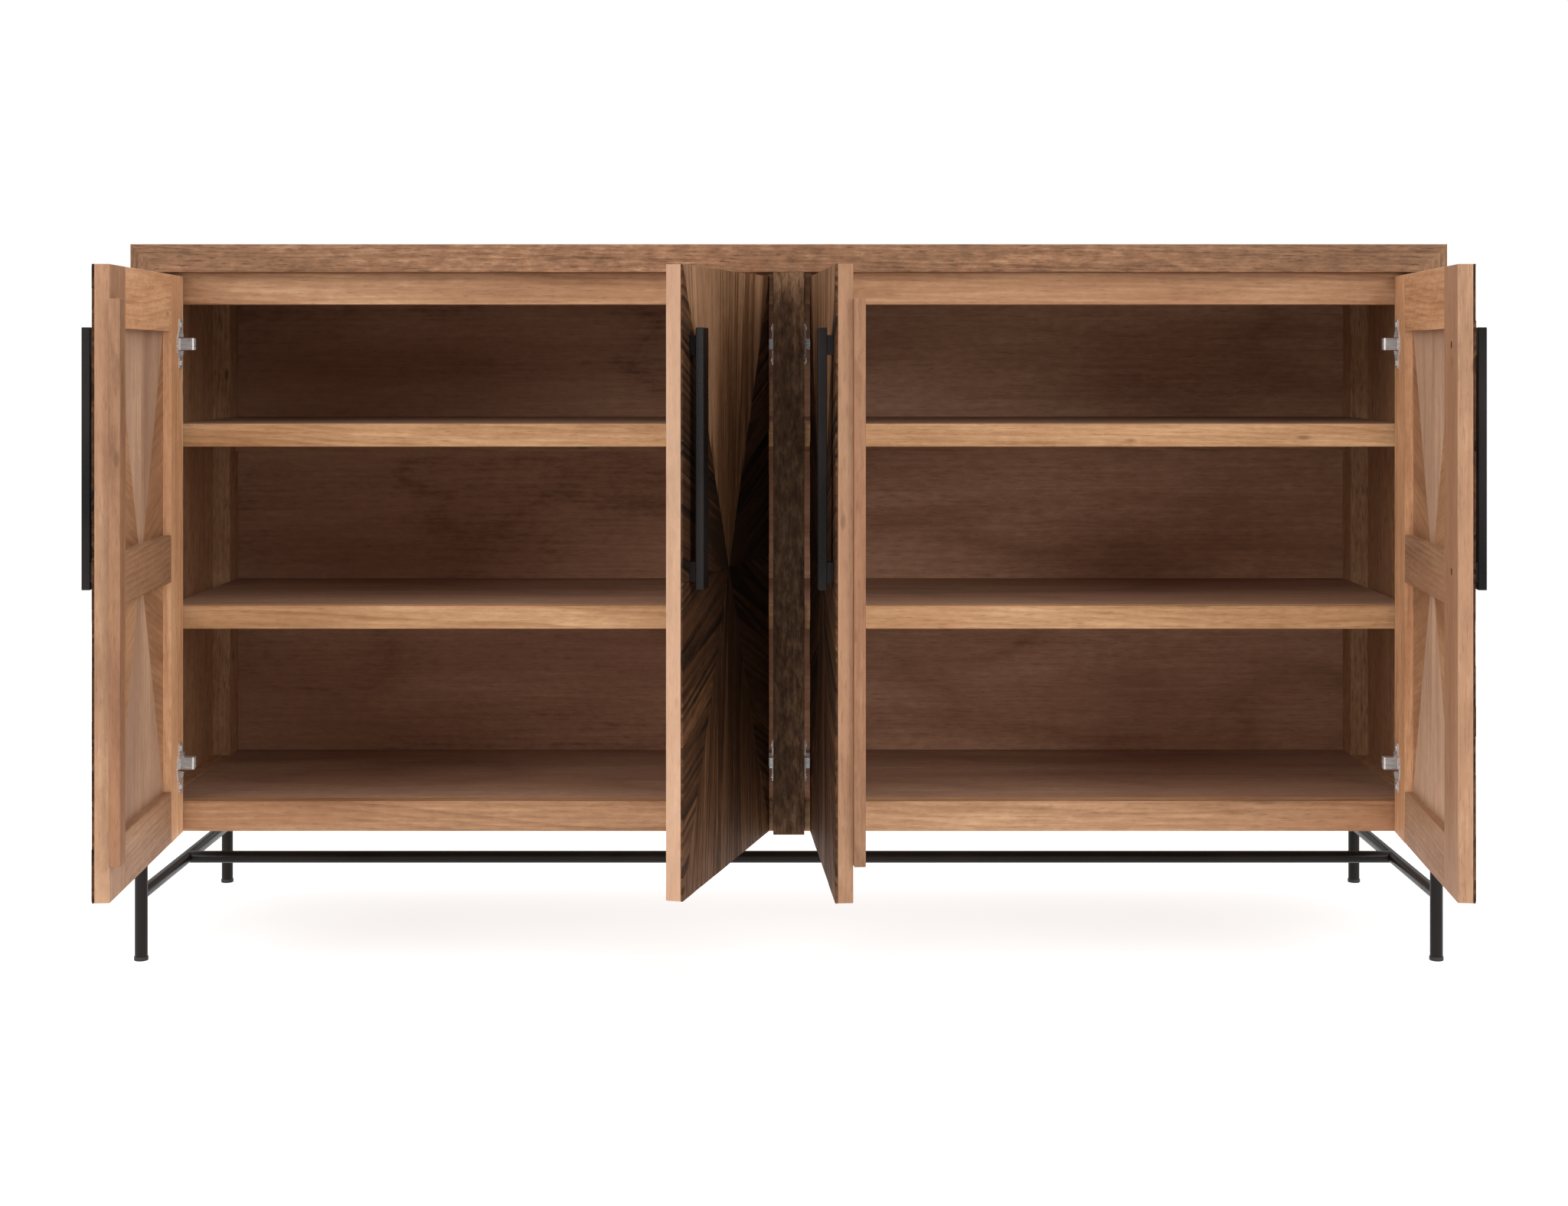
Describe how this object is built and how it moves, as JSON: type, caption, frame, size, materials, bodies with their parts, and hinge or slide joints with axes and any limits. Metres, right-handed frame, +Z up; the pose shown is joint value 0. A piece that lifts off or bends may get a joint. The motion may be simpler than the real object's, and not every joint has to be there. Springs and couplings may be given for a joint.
{
  "type": "sideboard buffet",
  "caption": "Low sideboard with a wooden waterfall case on a thin metal base, hinged panelled doors with bar handles, and two shelved bays.",
  "frame": {"origin": "on the floor, under the middle of the case's footprint", "axes": "+X to the right as seen from the front, +Y from the front to the back, +Z up"},
  "size_m": [1.65, 0.82, 0.9],
  "materials": {
    "weathered_wood": "matte, weathered mid-brown",
    "dark_post_wood": "matte, dark brown",
    "dark_mosaic_wood": "matte, streaky dark brown planks",
    "light_wood": "matte, light natural",
    "light_veneer": "matte, light natural wedges",
    "reddish_ply": "matte, reddish plywood",
    "black_metal": "satin black powder coat",
    "nickel_plate": "satin nickel",
    "black_plastic": "matte black"
  },
  "bodies": {
    "case": {"back_panels": "reddish_ply", "base_side_rails": "black_metal", "base_stretcher": "black_metal", "bottom_rails": "light_wood", "centre_divider": "light_wood", "centre_post": "dark_post_wood", "floor_panels": "reddish_ply", "foot_glides": "black_plastic", "hinge_arms": "nickel_plate", "hinge_mounting_plates": "nickel_plate", "hinge_screws": "nickel_plate", "joint_dowels": "light_wood", "leg_front_left": "black_metal", "leg_front_right": "black_metal", "leg_plate_screws": "nickel_plate", "leg_plates": "black_metal", "leg_rear_left": "black_metal", "leg_rear_right": "black_metal", "rear_frame": "light_wood", "shelf_cleats": "light_wood", "shelf_lips": "light_wood", "shelf_lower_left": "reddish_ply", "shelf_lower_right": "reddish_ply", "shelf_upper_left": "reddish_ply", "shelf_upper_right": "reddish_ply", "side_cross_rails": "weathered_wood", "side_front_stile_left": "weathered_wood", "side_front_stile_right": "weathered_wood", "side_panel_left": "weathered_wood", "side_panel_right": "weathered_wood", "side_rear_stiles": "weathered_wood", "top_board": "weathered_wood", "top_rails": "light_wood"},
    "door_outer_left": {"door_face_outer_left": "dark_mosaic_wood", "door_panels_outer_left": "light_veneer", "door_rails_outer_left": "light_wood", "door_stiles_outer_left": "light_wood", "handle_outer_left": "black_metal", "hinge_cups_outer_left": "nickel_plate", "overlap_strip_outer_left": "light_wood"},
    "door_inner_left": {"door_face_inner_left": "dark_mosaic_wood", "door_panels_inner_left": "light_veneer", "door_rails_inner_left": "light_wood", "door_stiles_inner_left": "light_wood", "handle_inner_left": "black_metal", "hinge_cups_inner_left": "nickel_plate"},
    "door_inner_right": {"door_face_inner_right": "dark_mosaic_wood", "door_panels_inner_right": "light_veneer", "door_rails_inner_right": "light_wood", "door_stiles_inner_right": "light_wood", "handle_inner_right": "black_metal", "hinge_cups_inner_right": "nickel_plate", "overlap_strip_inner_right": "light_wood"},
    "door_outer_right": {"door_face_outer_right": "dark_mosaic_wood", "door_panels_outer_right": "light_veneer", "door_rails_outer_right": "light_wood", "door_stiles_outer_right": "light_wood", "handle_outer_right": "black_metal", "hinge_cups_outer_right": "nickel_plate"}
  },
  "joints": [
    {"name": "outer_left_hinge", "type": "hinge", "parent": "case", "child": "door_outer_left", "pos_m": [-0.7755, -0.218, 0.51], "axis": [0, 0, -1], "range_deg": [-86.5, 18.5]},
    {"name": "inner_left_hinge", "type": "hinge", "parent": "case", "child": "door_inner_left", "pos_m": [-0.034, -0.218, 0.51], "axis": [0, 0, 1], "range_deg": [-76.5, 12.5]},
    {"name": "inner_right_hinge", "type": "hinge", "parent": "case", "child": "door_inner_right", "pos_m": [0.034, -0.218, 0.51], "axis": [0, 0, -1], "range_deg": [-86, 3]},
    {"name": "outer_right_hinge", "type": "hinge", "parent": "case", "child": "door_outer_right", "pos_m": [0.7755, -0.218, 0.51], "axis": [0, 0, 1], "range_deg": [-85.5, 19.5]}
  ]
}
